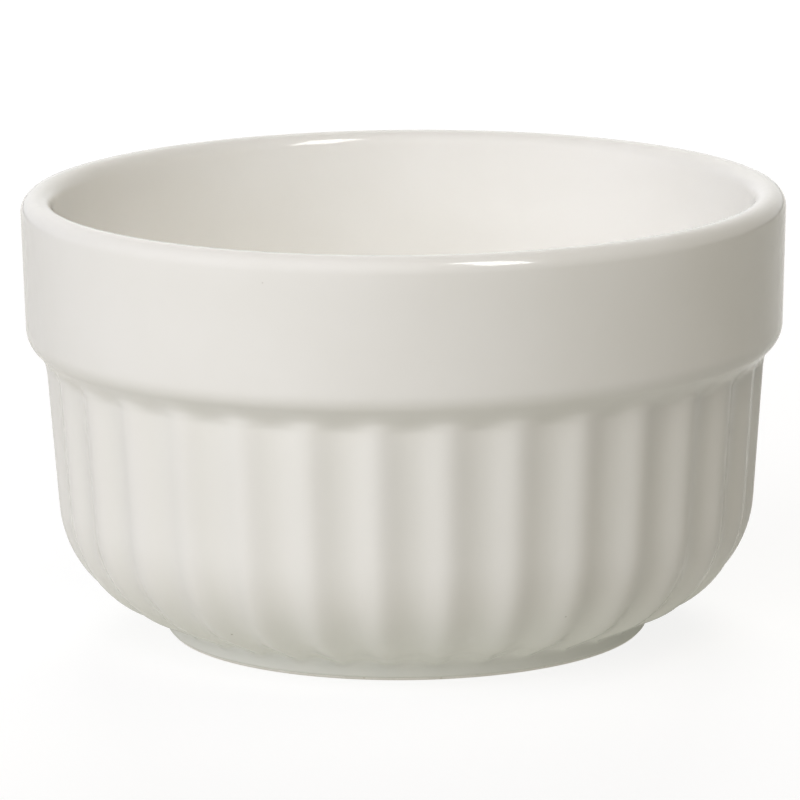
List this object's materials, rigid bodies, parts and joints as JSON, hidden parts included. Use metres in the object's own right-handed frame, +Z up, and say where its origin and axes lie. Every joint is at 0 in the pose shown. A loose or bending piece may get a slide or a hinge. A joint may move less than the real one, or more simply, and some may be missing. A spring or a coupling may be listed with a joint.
{
  "type": "souffle dish",
  "caption": "Round fluted souffle dish with a plain collar, a rounded rim, a rounded belly and a low foot ring, for baking and serving a single portion in the oven.",
  "frame": {"origin": "on the dish's axis, in the plane that the foot ring stands on", "axes": "+Z up along the dish's axis, out of its mouth; -Y towards the front of the picture, +X to its right"},
  "size_m": [0.0998, 0.1, 0.0583],
  "materials": {
    "stoneware": "bare fired clay, matt",
    "glaze": "off-white glossy glaze"
  },
  "bodies": {
    "root": {"stoneware_body": "stoneware", "glaze_coat": "glaze", "base_glaze": "glaze"}
  },
  "joints": []
}
